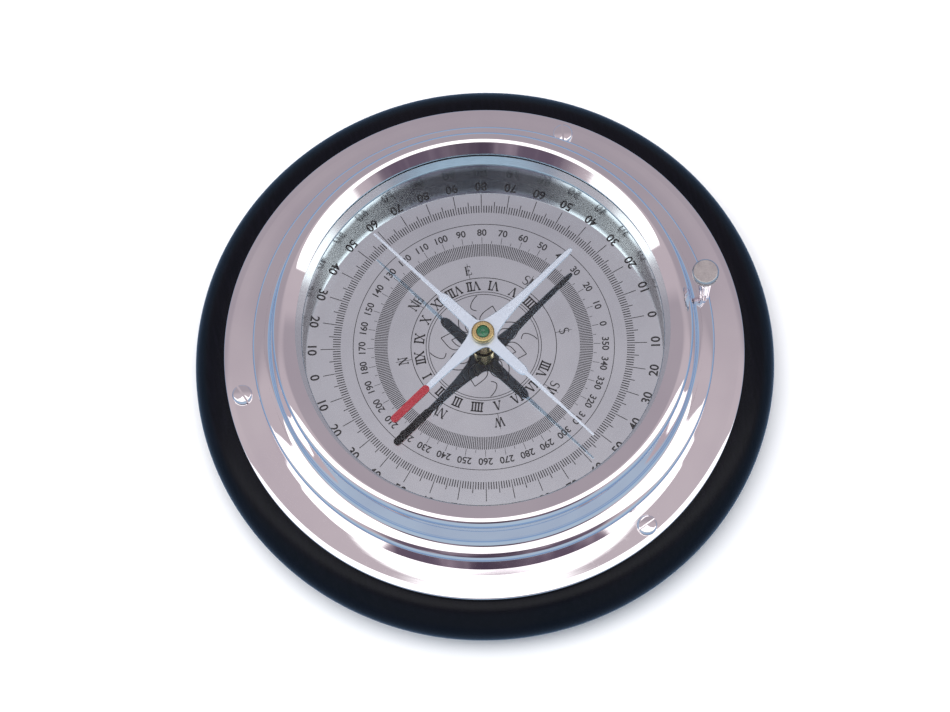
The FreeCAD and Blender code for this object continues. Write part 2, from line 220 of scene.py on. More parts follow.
def linear(red, green, blue, alpha=1.0):
    """A display colour, 0 to 255, as the shader's linear colour."""
    channels = []
    for value in (red, green, blue):
        share = value / 255.0
        channels.append(share / 12.92 if share < 0.04045 else ((share + 0.055) / 1.055) ** 2.4)
    return (channels[0], channels[1], channels[2], alpha)


def finish(name):
    """Turns a function that fills a bench into a function that makes the material once."""
    def wrap(fill):
        made = []

        def make():
            if not made:
                made.append(bpy.data.materials.new(name))
                made[0].use_nodes = True
                bench = Bench(made[0].node_tree)
                bench.output(fill(bench))
            return made[0]
        return make
    return wrap


# ---- finishes ----

def polar(bench):
    """Distance from the compass's axis in metres, turn round it in radians, and height."""
    x, y, z = bench.axes(bench.place())
    return (x * x + y * y) ** 0.5, y.maths("ARCTAN2", y, x), z


@finish("bright_plate")
def bright_plate(bench):
    place = bench.place()
    radius, turn, height = polar(bench)
    buff = bench.noise(bench.join(radius, height, turn * 0.004), 2600.0, 2.0)
    haze = bench.noise(place, 45.0, 4.0)
    scuff = bench.noise(place, 420.0, 2.0, 0.7)
    rough = 0.02 + 0.035 * bench.ease(haze, 0.45, 0.75) + 0.03 * bench.ease(scuff, 0.55, 0.8)
    tone = bench.blend(bench.ease(haze, 0.3, 0.7), linear(250, 246, 248), linear(243, 238, 242))
    normal = bench.bump(buff, 0.04, 0.00002)
    return bench.shader({"Base Color": tone, "Metallic": 1.0, "Roughness": rough,
                         "Normal": normal})


@finish("satin_knob_plate")
def satin_knob_plate(bench):
    place = bench.place()
    grain = bench.noise(place, 3500.0, 3.0, 0.6)
    haze = bench.noise(place, 300.0, 3.0)
    tone = bench.blend(bench.ease(haze, 0.35, 0.7), linear(216, 211, 208), linear(198, 193, 192))
    return bench.shader({"Base Color": tone, "Metallic": 1.0, "Roughness": 0.16 + 0.12 * grain,
                         "Normal": bench.bump(grain, 0.25, 0.00004)})


@finish("stained_wood")
def stained_wood(bench):
    place = bench.place()
    x, y, z = bench.axes(place)
    grain = bench.noise(bench.join(x * 1.0, y * 9.0, z * 6.0), 150.0, 6.0, 0.6)
    pore = bench.noise(bench.join(x * 1.0, y * 14.0, z * 14.0), 600.0, 2.0, 0.7)
    patch = bench.noise(place, 28.0, 3.0)
    stain = bench.blend(bench.ease(grain, 0.35, 0.72), linear(4, 6, 12), linear(9, 10, 18))
    stain = bench.blend(bench.ease(patch, 0.45, 0.75) * 0.5, stain, linear(13, 11, 16))
    rough = 0.13 + 0.10 * patch + 0.08 * bench.ease(pore, 0.55, 0.75)
    relief = grain * 0.6 + pore * 0.4
    return bench.shader({"Base Color": stain, "Roughness": rough, "Specular IOR Level": 0.16,
                         "Normal": bench.bump(relief, 0.3, 0.0002)})


@finish("green_baize")
def green_baize(bench):
    place = bench.place()
    nap = bench.noise(place, 2200.0, 4.0, 0.7)
    clump = bench.noise(place, 260.0, 3.0)
    tone = bench.blend(nap, linear(16, 52, 34), linear(34, 86, 58))
    tone = bench.blend(clump * 0.4, tone, linear(22, 60, 42))
    return bench.shader({"Base Color": tone, "Roughness": 0.95, "Sheen Weight": 0.4,
                         "Normal": bench.bump(nap, 0.6, 0.0004)})


@finish("dial_silvering")
def silvered_dial(bench):
    place = bench.place()
    fine = bench.noise(place, 5200.0, 2.0, 0.7)
    cloud = bench.noise(place, 60.0, 3.0)
    tone = bench.blend(bench.ease(cloud, 0.3, 0.7), linear(236, 246, 250), linear(228, 238, 243))
    return bench.shader({"Base Color": tone, "Metallic": 1.0,
                         "Roughness": 0.03 + 0.02 * cloud + 0.02 * fine,
                         "Normal": bench.bump(cloud, 0.01, 0.00002)})


@finish("engraving_black")
def engraving_black(bench):
    speck = bench.noise(bench.place(), 3000.0, 2.0)
    tone = bench.blend(speck, linear(10, 11, 14), linear(24, 25, 30))
    return bench.shader({"Base Color": tone, "Roughness": 0.3 + 0.2 * speck,
                         "Specular IOR Level": 0.6})


@finish("satin_liner")
def satin_liner(bench):
    radius, turn, height = polar(bench)
    brush = bench.noise(bench.join(turn * 0.02, height * 6.0, radius), 900.0, 3.0)
    tone = bench.blend(brush, linear(232, 240, 244), linear(218, 228, 234))
    # Painted shade: the tone darkens smoothly to dark grey over about 5 mm at the liner's foot,
    # down towards the dial, where the metal is also made less metallic and rougher.
    foot = bench.ease(height, (LINER_FLARE_Z - 0.3) * MM, (LINER_FLARE_Z - 5.0) * MM)
    tone = bench.blend(foot, tone, linear(72, 75, 81))
    return bench.shader({"Base Color": tone, "Metallic": 1.0 - 0.4 * foot,
                         "Roughness": 0.1 + 0.08 * brush + 0.1 * foot,
                         "Normal": bench.bump(brush, 0.05, 0.00003)})


@finish("clear_glass")
def clear_glass(bench):
    smear = bench.noise(bench.place(), 70.0, 3.0)
    facing = bench.add("ShaderNodeLayerWeight", None, {"Blend": 0.5}, out=1)
    skin = 0.018 + 0.6 * facing ** 5
    return bench.shader({"Base Color": (1.0, 1.0, 1.0, 1.0), "Metallic": 1.0,
                         "Roughness": bench.ease(smear, 0.55, 0.9, 0.0, 0.02), "Alpha": skin})


def underside(bench, level):
    """1 just below a height in millimetres and 0 just above it."""
    height = bench.axes(bench.place())[2]
    return bench.ease(height, level * MM, (level - 0.1) * MM)


@finish("needle_plating")
def needle_silver(bench):
    place = bench.place()
    rub = bench.noise(place, 1500.0, 3.0, 0.6)
    cloud = bench.noise(place, 160.0, 2.0)
    tone = bench.blend(cloud, linear(216, 228, 242), linear(228, 237, 248))
    under = underside(bench, NEEDLE_Z + 0.15)
    tone = bench.blend(under, tone, linear(86, 89, 96))
    return bench.shader({"Base Color": tone, "Metallic": 0.72 - 0.5 * under,
                         "Roughness": 0.16 + 0.10 * rub, "Normal": bench.bump(rub, 0.08, 0.00003)})


@finish("red_end_enamel")
def red_enamel(bench):
    place = bench.place()
    flow = bench.noise(place, 900.0, 2.0)
    tone = bench.blend(flow, linear(136, 22, 36), linear(150, 32, 46))
    tone = bench.blend(underside(bench, NEEDLE_Z), tone, linear(30, 20, 24))
    return bench.shader({"Base Color": tone, "Roughness": 0.35 + 0.15 * flow,
                         "Coat Weight": 0.12, "Normal": bench.bump(flow, 0.3, 0.00006)})


@finish("turned_brass")
def turned_brass(bench):
    place = bench.place()
    cut = bench.noise(place, 2400.0, 2.0)
    cloud = bench.noise(place, 240.0, 3.0)
    tone = bench.blend(cloud, linear(226, 204, 150), linear(206, 180, 120))
    return bench.shader({"Base Color": tone, "Metallic": 1.0, "Roughness": 0.18 + 0.14 * cut,
                         "Normal": bench.bump(cut, 0.08, 0.00003)})


@finish("ground_steel")
def ground_steel(bench):
    place = bench.place()
    grind = bench.noise(place, 2600.0, 3.0)
    tone = bench.blend(grind, linear(170, 174, 180), linear(200, 203, 208))
    return bench.shader({"Base Color": tone, "Metallic": 1.0, "Roughness": 0.2 + 0.15 * grind,
                         "Normal": bench.bump(grind, 0.08, 0.00003)})


@finish("black_rubber")
def black_rubber(bench):
    speck = bench.noise(bench.place(), 1800.0, 3.0)
    tone = bench.blend(speck, linear(16, 16, 18), linear(34, 34, 36))
    return bench.shader({"Base Color": tone, "Roughness": 0.7 + 0.15 * speck,
                         "Normal": bench.bump(speck, 0.2, 0.00005)})


@finish("green_jewel")
def green_jewel(bench):
    cloud = bench.noise(bench.place(), 900.0, 3.0)
    tone = bench.blend(cloud, linear(5, 62, 38), linear(18, 104, 66))
    return bench.shader({"Base Color": tone, "Roughness": 0.06 + 0.06 * cloud,
                         "Coat Weight": 0.8})


@finish("pale_floor")
def pale_floor(bench):
    tooth = bench.noise(bench.place(), 60.0, 3.0)
    tone = bench.blend(tooth, linear(250, 250, 251), linear(253, 253, 254))
    return bench.shader({"Base Color": tone, "Roughness": 0.9})


# ---- mesh tools ----

def section(corners, steps=10):
    """Points round a lathe outline. A corner is (radius, height, rounding).

    A rounded corner becomes an arc, with a point just outside each end of it so that the
    straight stretches stay flat when they are shaded.
    """
    points = []
    count = len(corners)
    for i, (r, z, rounding) in enumerate(corners):
        here = Vector((r, z))
        if rounding <= 0:
            points.append(here)
            continue
        before = (Vector(corners[i - 1][:2]) - here).normalized()
        after = (Vector(corners[(i + 1) % count][:2]) - here).normalized()
        opening = before.angle(after)
        setback = rounding / math.tan(opening / 2)
        centre = here + (before + after).normalized() * (rounding / math.sin(opening / 2))
        first = here + before * setback - centre
        sweep = math.pi - opening
        side = 1.0 if first.x * (here - centre).y - first.y * (here - centre).x > 0 else -1.0
        guard = min(0.06, setback * 0.3)
        points.append(here + before * (setback + guard))
        for k in range(steps + 1):
            turn = side * sweep * k / steps
            spoke = Vector((first.x * math.cos(turn) - first.y * math.sin(turn),
                            first.x * math.sin(turn) + first.y * math.cos(turn)))
            points.append(centre + spoke)
        points.append(here + after * (setback + guard))
    return points


def moulding(start, tilt, *steps):
    """Points along a turned profile that heads outward, tilting down as it goes.

    Tilts are in degrees. A step is (radius, new tilt) for an arc, or (length,) for a straight.
    """
    r, z = start
    points = [(r, z)]
    for step in steps:
        if len(step) == 1:
            guard = min(0.08, step[0] / 4)
            for length in (guard, step[0] - 2 * guard, guard):
                r += length * math.cos(math.radians(tilt))
                z -= length * math.sin(math.radians(tilt))
                points.append((r, z))
            continue
        radius, new_tilt = step
        side = 1.0 if new_tilt > tilt else -1.0
        count = max(4, int(abs(new_tilt - tilt) / 3.0) + 1)
        first = math.radians(tilt)
        for k in range(1, count + 1):
            there = math.radians(tilt + (new_tilt - tilt) * k / count)
            points.append((r + side * radius * (math.sin(there) - math.sin(first)),
                           z + side * radius * (math.cos(there) - math.cos(first))))
        r, z = points[-1]
        tilt = new_tilt
    return points


def piece(name, bm, body, material, replaces=(), sharp=40.0):
    """Finishes a mesh in millimetres as a piece of the compass that rides on a body."""
    bmesh.ops.scale(bm, vec=(MM, MM, MM), verts=bm.verts)
    bmesh.ops.recalc_face_normals(bm, faces=bm.faces)
    mesh = bpy.data.meshes.new(name)
    bm.to_mesh(mesh)
    bm.free()
    mesh.polygons.foreach_set("use_smooth", [True] * len(mesh.polygons))
    mesh.set_sharp_from_angle(angle=math.radians(sharp))
    mesh.materials.append(material)
    obj = bpy.data.objects.new(name, mesh)
    bpy.context.scene.collection.objects.link(obj)
    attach(obj, body)
    if replaces:
        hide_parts(*replaces)
    return obj


def lathe(points, around=ROUND, axis=(0.0, 0.0), closed=True, wobble=None):
    """A turned solid. Points on the axis become poles."""
    bm = bmesh.new()
    rings = []
    for point in points:
        if point[0] < 1e-6:
            rings.append([bm.verts.new((axis[0], axis[1], point[1]))] * around)
            continue
        ring = []
        for i in range(around):
            turn = 2 * math.pi * i / around
            r = point[0] + (wobble(turn, point[1]) if wobble else 0.0)
            ring.append(bm.verts.new((axis[0] + r * math.cos(turn),
                                      axis[1] + r * math.sin(turn), point[1])))
        rings.append(ring)
    pairs = list(zip(rings, rings[1:]))
    if closed:
        pairs.append((rings[-1], rings[0]))
    for lower, upper in pairs:
        for i in range(around):
            k = (i + 1) % around
            corners = []
            for vert in (lower[i], lower[k], upper[k], upper[i]):
                if vert not in corners:
                    corners.append(vert)
            if len(corners) > 2:
                bm.faces.new(corners)
    return bm


def prism(bm, outline, bottom, top):
    """Adds an upright solid with the given plan."""
    upper = [bm.verts.new((x, y, top)) for x, y in outline]
    lower = [bm.verts.new((x, y, bottom)) for x, y in outline]
    bm.faces.new(upper)
    bm.faces.new(list(reversed(lower)))
    for i in range(len(outline)):
        k = (i + 1) % len(outline)
        bm.faces.new((upper[i], lower[i], lower[k], upper[k]))


def spun(points, degrees, offset=(0.0, 0.0)):
    c, s = math.cos(math.radians(degrees)), math.sin(math.radians(degrees))
    return [(x * c - y * s + offset[0], x * s + y * c + offset[1]) for x, y in points]


# ---- base ----

def turned_base():
    middle = (FELT_TOP + WOOD_TOP) / 2
    half = (WOOD_TOP - FELT_TOP) / 2
    nose = []
    for k in range(33):
        turn = math.pi * (k / 32 - 0.5)
        nose.append((WOOD_FLAT_R - 1.0 + (BASE_R - WOOD_FLAT_R + 1.0) * math.cos(turn),
                     middle + half * math.sin(turn)))
    outline = [(0.0, FELT_TOP), (WOOD_FLAT_R - 1.2, FELT_TOP)] + nose
    outline += [(WOOD_FLAT_R - 1.2, WOOD_TOP), (RECESS_R, WOOD_TOP),
                (RECESS_R, RECESS_FLOOR), (0.0, RECESS_FLOOR)]
    piece("turned_wood_base", lathe(outline, closed=False), "case",
          stained_wood(), ("wood_base",))


def baize_pad():
    outline = section([(0.0, 0.0, 0), (FELT_R, 0.0, 0.25), (FELT_R, FELT_TOP, 0.1),
                       (0.0, FELT_TOP, 0)], 4)
    piece("baize_pad", lathe(outline, closed=False), "case", green_baize(),
          ("felt_pad",))


# ---- case ----

def case_turning():
    """A crowned shoulder, a straight drum and a flange whose face is a little hollow."""
    shoulder = moulding((SEAT_R, SEAT_RIM_Z), 11.0, (0.8,), (9.0, 22.0), (1.2, 90.0))
    drum_r, drum_top = shoulder[-1]
    flange = moulding((drum_r, FLANGE_TOP), 3.0, (95.0, -0.7), (5.6, 16.0), (0.25, 90.0))
    outline = [(SPIGOT_OUT_R, SPIGOT_FOOT), (SPIGOT_IN_R, SPIGOT_FOOT),
               (SPIGOT_IN_R, WEB_UNDER), (CASE_BORE_R, WEB_UNDER),
               (CASE_BORE_R, SHOULDER_Z - 0.1), (SEAT_R, SHOULDER_Z - 0.1)]
    outline += shoulder + [(drum_r, drum_top - 0.1), (drum_r, FLANGE_TOP + 0.1)] + flange
    outline += [(FLANGE_R, WOOD_TOP), (SPIGOT_OUT_R, WOOD_TOP)]
    piece("case_flange_and_drum", lathe(outline), "case", bright_plate(),
          ("case_ring",))


def bezel_turning():
    """A rounded crest over the glass, a wall that leans in and a hollow foot."""
    crest = (CREST_R, CREST_Z)
    outside = moulding(crest, 0.0, (3.5, 23.0), (1.5, 82.0), (6.76,), (1.72, 20.0), (3.4, 12.0))
    inside = moulding(crest, 0.0, (3.1, 22.0), (2.74,))
    inside = [(2 * CREST_R - r, z) for r, z in inside]
    outline = list(reversed(inside)) + outside[1:]
    foot_r = min(SEAT_R - 0.01, outside[-1][0])
    outline[-1] = (foot_r, outline[-1][1])
    outline += [(foot_r, SHOULDER_Z + 0.02), (BEZEL_BORE_R, SHOULDER_Z + 0.02),
                (BEZEL_BORE_R, LIP_UNDER), (WINDOW_R, LIP_UNDER)]
    piece("bezel", lathe(outline), "case", bright_plate(), ("bezel_ring",))


def flange_screw_heads():
    """Domed heads with a cut slot. Their shanks stay in the wood."""
    whole = bmesh.new()
    for bearing, slot in zip(SCREW_BEARINGS, SCREW_SLOTS):
        c, s = math.cos(math.radians(bearing)), math.sin(math.radians(bearing))
        head = slotted_head(SCREW_HEAD_R, SCREW_HEAD_RISE, SCREW_SLOT_HALF, slot + bearing)
        bmesh.ops.translate(head, verts=head.verts,
                            vec=(SCREW_PITCH_R * c, SCREW_PITCH_R * s, FLANGE_TOP))
        scratch = bpy.data.meshes.new("scratch")
        head.to_mesh(scratch)
        head.free()
        whole.from_mesh(scratch)
        bpy.data.meshes.remove(scratch)
    piece("flange_screw_heads", whole, "case", bright_plate(),
          ("flange_screws",))


def slotted_head(radius, rise, slot_half, degrees):
    """A low domed head, built in rows across its slot, which is cut square."""
    bm = bmesh.new()
    floor = rise * 0.45
    across = 32

    def dome(x, y):
        reach = min(1.0, math.hypot(x, y) / radius)
        return rise - 0.16 * reach ** 2 - 0.5 * max(0.0, (reach - 0.8) / 0.2) ** 2.5

    levels = [(-radius * math.cos(math.pi / 2 * k / 14), None) for k in range(14)]
    levels = [level for level in levels if level[0] < -slot_half - 0.1]
    levels += [(-slot_half - 0.08, None), (-slot_half, None), (-slot_half + 0.01, floor),
               (-slot_half + 0.05, floor)]
    levels += [(-y, z) for y, z in reversed(levels)]
    rows = []
    for y, depth in levels:
        half = math.sqrt(radius ** 2 - y ** 2)
        row = []
        for i in range(across + 1):
            x = half * math.sin(math.pi / 2 * (2 * i / across - 1))
            row.append(bm.verts.new((x, y, dome(x, y) if depth is None else depth)))
        rows.append(row)
    for first, second in zip(rows, rows[1:]):
        for i in range(across):
            bm.faces.new((first[i], first[i + 1], second[i + 1], second[i]))
    bmesh.ops.remove_doubles(bm, verts=bm.verts, dist=1e-4)
    rim = [edge for edge in bm.edges if edge.is_boundary]
    skirt = bmesh.ops.extrude_edge_only(bm, edges=rim)["geom"]
    for vert in [part for part in skirt if isinstance(part, bmesh.types.BMVert)]:
        vert.co.z = 0.0
    bmesh.ops.contextual_create(bm, geom=[edge for edge in bm.edges if edge.is_boundary])
    bmesh.ops.rotate(bm, verts=bm.verts, cent=(0, 0, 0),
                     matrix=Matrix.Rotation(math.radians(degrees), 3, "Z"))
    return bm


# ---- window ----

LIP_GAP = 0.2


def window():
    bevel = 0.3
    top = LIP_UNDER - LIP_GAP
    outline = [(0.0, GLASS_UNDER), (GLASS_R - bevel, GLASS_UNDER), (GLASS_R, GLASS_UNDER + bevel),
               (GLASS_R, top - bevel), (GLASS_R - bevel, top), (0.0, top)]
    piece("window_glass", lathe(outline, closed=False), "case", clear_glass(),
          ("cover_glass",), 20.0)


def liner_ring():
    """Upright at its foot, with a flared rim under the glass."""
    corners = [(LINER_OUT_R, DIAL_Z, 0), (LINER_R, DIAL_Z, 0), (LINER_R, LINER_FLARE_Z, 0.5),
               (LINER_FLARE_R, LINER_TOP, 0.2), (LINER_OUT_R, LINER_TOP, 0)]
    piece("liner_ring", lathe(section(corners, 6)), "case", satin_liner(),
          ("dial_liner",))


# ---- dial ----

def dial_sheet():
    outline = section([(DIAL_HOLE_R, DIAL_Z - DIAL_T, 0), (DIAL_HOLE_R, DIAL_Z, 0.1),
                       (DIAL_R, DIAL_Z, 0), (DIAL_R, DIAL_Z - DIAL_T, 0)], 4)
    piece("dial_sheet", lathe(outline), "case", silvered_dial(),
          ("dial_plate",))


INK_LIFT = 0.015
INK_DEPTH = 0.05


def ink(bm, outline):
    prism(bm, outline, DIAL_Z - INK_DEPTH, DIAL_Z + INK_LIFT)


def bar(x0, y0, x1, y1, width, width_end=None):
    """A straight stroke's plan."""
    run = Vector((x1 - x0, y1 - y0)).normalized()
    a, b = width / 2, (width if width_end is None else width_end) / 2
    return [(x0 + run.y * a, y0 - run.x * a), (x1 + run.y * b, y1 - run.x * b),
            (x1 - run.y * b, y1 + run.x * b), (x0 - run.y * a, y0 + run.x * a)]


def ribbon(bm, points, width):
    """Ink along a curved line, as one joined strip."""
    sides = []
    for i, (x, y) in enumerate(points):
        ahead = Vector(points[min(i + 1, len(points) - 1)])
        behind = Vector(points[max(i - 1, 0)])
        run = (ahead - behind).normalized()
        w = (width(i / (len(points) - 1)) if callable(width) else width) / 2
        sides.append(((x + run.y * w, y - run.x * w), (x - run.y * w, y + run.x * w)))
    ink(bm, [right for right, left in sides] + [left for right, left in reversed(sides)])


def ring_line(bm, radius, width):
    """A thin engraved circle, as a closed band."""
    loops = []
    for r, lift in ((radius - width / 2, -INK_DEPTH), (radius - width / 2, INK_LIFT),
                    (radius + width / 2, INK_LIFT), (radius + width / 2, -INK_DEPTH)):
        loops.append([bm.verts.new((r * math.cos(2 * math.pi * i / ROUND),
                                    r * math.sin(2 * math.pi * i / ROUND),
                                    DIAL_Z + lift)) for i in range(ROUND)])
    for n in range(4):
        inner, outer = loops[n], loops[(n + 1) % 4]
        for i in range(ROUND):
            k = (i + 1) % ROUND
            bm.faces.new((inner[i], inner[k], outer[k], outer[i]))


def dial_scales():
    bm = bmesh.new()
    for degree in range(360):
        if degree % 10 == 0:
            start, end, width = 37.4, 42.65, 0.2
        elif degree % 5 == 0:
            start, end, width = 37.4, 40.5, 0.22
        else:
            start, end, width = 37.4, 39.4, 0.26
        ink(bm, spun(bar(start, 0, end, 0, width), degree))
        if degree % 10 == 0:
            ink(bm, spun(bar(28.7, 0, 30.5, 0, 0.13), degree))
        elif degree % 5 == 0:
            ink(bm, spun(bar(28.7, 0, 29.5, 0, 0.13), degree))
    for degree in range(360):
        ink(bm, spun(bar(25.1, 0, 28.55, 0, 0.2, 0.24), degree + 0.5))
    for radius, width in ((34.1, 0.18), (19.0, 0.2), (15.05, 0.18), (14.35, 0.18)):
        ring_line(bm, radius, width)
    piece("dial_scales", bm, "case", engraving_black(), (), 20.0)


def set_text(bm, words, height, bearing, radius, tops_out):
    """Adds raised-ink figures centred at a bearing and radius."""
    curve = bpy.data.curves.new("figures", "FONT")
    curve.body = words
    curve.size = 1.0
    curve.align_x = "CENTER"
    curve.extrude = 0.5
    curve.offset = 0.02
    holder = bpy.data.objects.new("figures", curve)
    mesh = bpy.data.meshes.new_from_object(holder)
    figures = bmesh.new()
    figures.from_mesh(mesh)
    zero_height = 0.73
    scale = height / zero_height
    turn = math.radians(bearing + (-90.0 if tops_out else 90.0))
    c, s = math.cos(turn), math.sin(turn)
    at = (radius * math.cos(math.radians(bearing)), radius * math.sin(math.radians(bearing)))
    for vert in figures.verts:
        x, y = vert.co.x * scale, vert.co.y * scale - height / 2
        px, py = at[0] + x * c - y * s, at[1] + x * s + y * c
        vert.co = (px, py, DIAL_Z + (INK_LIFT if vert.co.z > 0 else -INK_DEPTH))
    scratch = bpy.data.meshes.new("scratch")
    figures.to_mesh(scratch)
    figures.free()
    bm.from_mesh(scratch)
    bpy.data.meshes.remove(scratch)
    bpy.data.meshes.remove(mesh)
    bpy.data.objects.remove(holder)
    bpy.data.curves.remove(curve)


def dial_figures():
    outer = bmesh.new()
    for degree in range(0, 360, 10):
        value = abs(90 - abs((degree - 90) % 360 - 180) % 180)
        value = 90 - value
        set_text(outer, str(value), 2.4, degree, 44.75, False)
    piece("outer_figures", outer, "case", engraving_black(), (), 20.0)
    inner = bmesh.new()
    for value in range(0, 360, 10):
        set_text(inner, str(value), 1.85, value - 90, 31.85, True)
    piece("inner_figures", inner, "case", engraving_black(), (), 20.0)


THICK = 0.42
THIN = 0.16
SERIF = 0.14


def serif(x, y, half):
    return bar(x - half, y, x + half, y, SERIF)


def s_curve(width, height):
    """The spine of an S from its lower to its upper end."""
    points = []
    for centre, reach, first, last in ((0.26, 0.26, -155.0, 90.0), (0.76, 0.24, 270.0, 30.0)):
        for k in range(13):
            turn = math.radians(first + (last - first) * k / 12)
            points.append((width * 2 * reach * math.cos(turn),
                           height * (centre + reach * math.sin(turn))))
    return points[:13] + points[14:]


def letter_strokes(letter):
    """One serifed letter of unit height, its left edge at x = 0: (strokes, width)."""
    if letter == "I":
        return [bar(0.16, 0, 0.16, 1, THICK / 2.4), serif(0.16, 0.03, 0.16),
                serif(0.16, 0.97, 0.16)], 0.32
    if letter == "V":
        return [bar(0.12, 1, 0.4, 0, THICK / 2.4), bar(0.4, 0, 0.68, 1, THIN / 2),
                serif(0.12, 0.97, 0.14), serif(0.68, 0.97, 0.12)], 0.8
    if letter == "X":
        return [bar(0.12, 1, 0.68, 0, THICK / 2.4), bar(0.12, 0, 0.68, 1, THIN / 2),
                serif(0.12, 0.03, 0.12), serif(0.68, 0.03, 0.12), serif(0.12, 0.97, 0.12),
                serif(0.68, 0.97, 0.12)], 0.8
    if letter == "N":
        return [bar(0.14, 0, 0.14, 1, THIN / 2), bar(0.14, 1, 0.72, 0, THICK / 2.6),
                bar(0.72, 0, 0.72, 1, THIN / 2), serif(0.14, 0.03, 0.12),
                serif(0.1, 0.97, 0.1), serif(0.72, 0.97, 0.12)], 0.86
    if letter == "E":
        return [bar(0.16, 0, 0.16, 1, THICK / 2.6), bar(0.05, 0.97, 0.64, 0.97, THIN / 2.2),
                bar(0.16, 0.52, 0.48, 0.52, THIN / 2.2), bar(0.05, 0.03, 0.68, 0.03, THIN / 2.2),
                bar(0.62, 0.97, 0.62, 0.8, THIN / 2.2), bar(0.66, 0.03, 0.66, 0.24, THIN / 2.2),
                bar(0.47, 0.42, 0.47, 0.62, THIN / 2.2)], 0.74
    if letter == "W":
        return [bar(0.1, 1, 0.34, 0, THICK / 2.6), bar(0.34, 0, 0.55, 1, THIN / 2.2),
                bar(0.55, 1, 0.78, 0, THICK / 2.6), bar(0.78, 0, 1.0, 1, THIN / 2.2),
                serif(0.1, 0.97, 0.1), serif(0.55, 0.97, 0.1), serif(1.0, 0.97, 0.1)], 1.1
    return [], 0.7


def set_letters(bm, word, height, bearing, radius, tops_out):
    """Serifed letters set side by side, centred at a bearing and radius."""
    widths = [letter_strokes(letter)[1] for letter in word]
    x = -sum(widths) * height / 2
    turn = bearing + (-90.0 if tops_out else 90.0)
    at = (radius * math.cos(math.radians(bearing)), radius * math.sin(math.radians(bearing)))
    for letter, width in zip(word, widths):
        if letter == "S":
            spine = [(x + (0.34 + px) * height, (py - 0.5) * height)
                     for px, py in s_curve(0.5, 1.0)]
            spine = spun(spine, turn, at)
            ribbon(bm, spine, lambda t: height * (0.07 + 0.08 * math.sin(math.pi * t) ** 2))
        for stroke in letter_strokes(letter)[0]:
            flat = [(x + px * height, (py - 0.5) * height) for px, py in stroke]
            ink(bm, spun(flat, turn, at))
        x += width * height


def dial_letters():
    bm = bmesh.new()
    points = ("E", "NE", "N", "NW", "W", "SW", "S", "SE")
    for i, word in enumerate(points):
        set_letters(bm, word, 2.5, 45 * i, 21.4, True)
        ink(bm, spun(bar(19.0, 0, 23.4, 0, 0.13), 45 * i))
    hours = ("XII", "I", "II", "III", "IIII", "V", "VI", "VII", "VIII")
    for i, hour in enumerate(hours):
        set_letters(bm, hour, 2.5, 90 + 18.3 * i, 16.9, False)
    hours = ("XI", "X", "IX", "VIII", "VII", "VI", "V", "IIII")
    for i, hour in enumerate(hours):
        set_letters(bm, hour, 2.5, 90 - 18.3 * (i + 1), 16.9, False)
    piece("dial_letters", bm, "case", engraving_black(), (), 20.0)


PETAL_ROOT = 4.2
CURL_ROOT = 10.0


def dial_rosette():
    """A plain eight-petalled flower with curled tendrils between the petals."""
    bm = bmesh.new()
    line = 0.23
    for i in range(8):
        turn = 45.0 * i + 22.5
        for reach, half in ((11.4, 2.5), (8.6, 1.3)):
            petal = []
            for k in range(21):
                t = k / 20
                petal.append((PETAL_ROOT + (reach - PETAL_ROOT) * t,
                              half * math.sin(math.pi * t) * (1.25 - 0.5 * t)))
            ribbon(bm, spun(petal, turn), line)
            ribbon(bm, spun([(x, -y) for x, y in petal], turn), line)
        curl = []
        for k in range(25):
            t = k / 24
            sweep = 4.4 * t
            curl.append((CURL_ROOT + 3.6 * t - 1.2 * t * math.cos(sweep),
                         1.5 * (1 - 0.35 * t) * math.sin(sweep)))
        ribbon(bm, spun(curl, turn + 22.5), line)
    piece("dial_rosette", bm, "case", engraving_black(), (), 20.0)


# ---- needle ----

def cross_plan(inset):
    """The stamped cross in plan: two long tapered arms along X, two short bars along Y."""
    long_arm = [(2.1, 3.2), (2.7, 2.75), (4.0, 2.35), (5.5, 2.02), (7.5, 1.7), (10.0, 1.4),
                (13.0, 1.16), (16.5, 0.98), (20.0, 0.88), (26.0, 0.8), (31.0, 0.75),
                (32.4, 0.6), (33.0, 0.32)]
    short_bar = [(3.7, 1.72), (5.0, 1.6), (9.0, 1.46), (14.2, 1.36), (15.2, 1.0), (15.8, 0.5)]
    plan = []
    for turn, arm in ((0, long_arm), (90, short_bar), (180, long_arm), (270, short_bar)):
        arm = [(x - inset * (x > 12), y - inset) for x, y in arm]
        plan += spun([(x, -y) for x, y in arm] + [(x, y) for x, y in reversed(arm)], turn)
    return spun(plan, BLADE_BEARING)


def needle_cross():
    """The flat needle, with a narrow bevel all round its upper edge."""
    bm = bmesh.new()
    bevel = 0.16
    levels = [(bevel, NEEDLE_Z), (0.0, NEEDLE_Z + bevel), (0.0, NEEDLE_Z + NEEDLE_T - bevel),
              (bevel, NEEDLE_Z + NEEDLE_T)]
    rings = [[bm.verts.new((x, y, z)) for x, y in cross_plan(inset)] for inset, z in levels]
    for lower, upper in zip(rings, rings[1:]):
        for i in range(len(lower)):
            k = (i + 1) % len(lower)
            bm.faces.new((lower[i], lower[k], upper[k], upper[i]))
    faces = [bm.faces.new(rings[0]), bm.faces.new(rings[-1])]
    bm.normal_update()
    bmesh.ops.triangulate(bm, faces=faces)
    piece("needle_cross", bm, "needle", needle_silver(),
          ("needle_blade", "cross_bar"), 25.0)


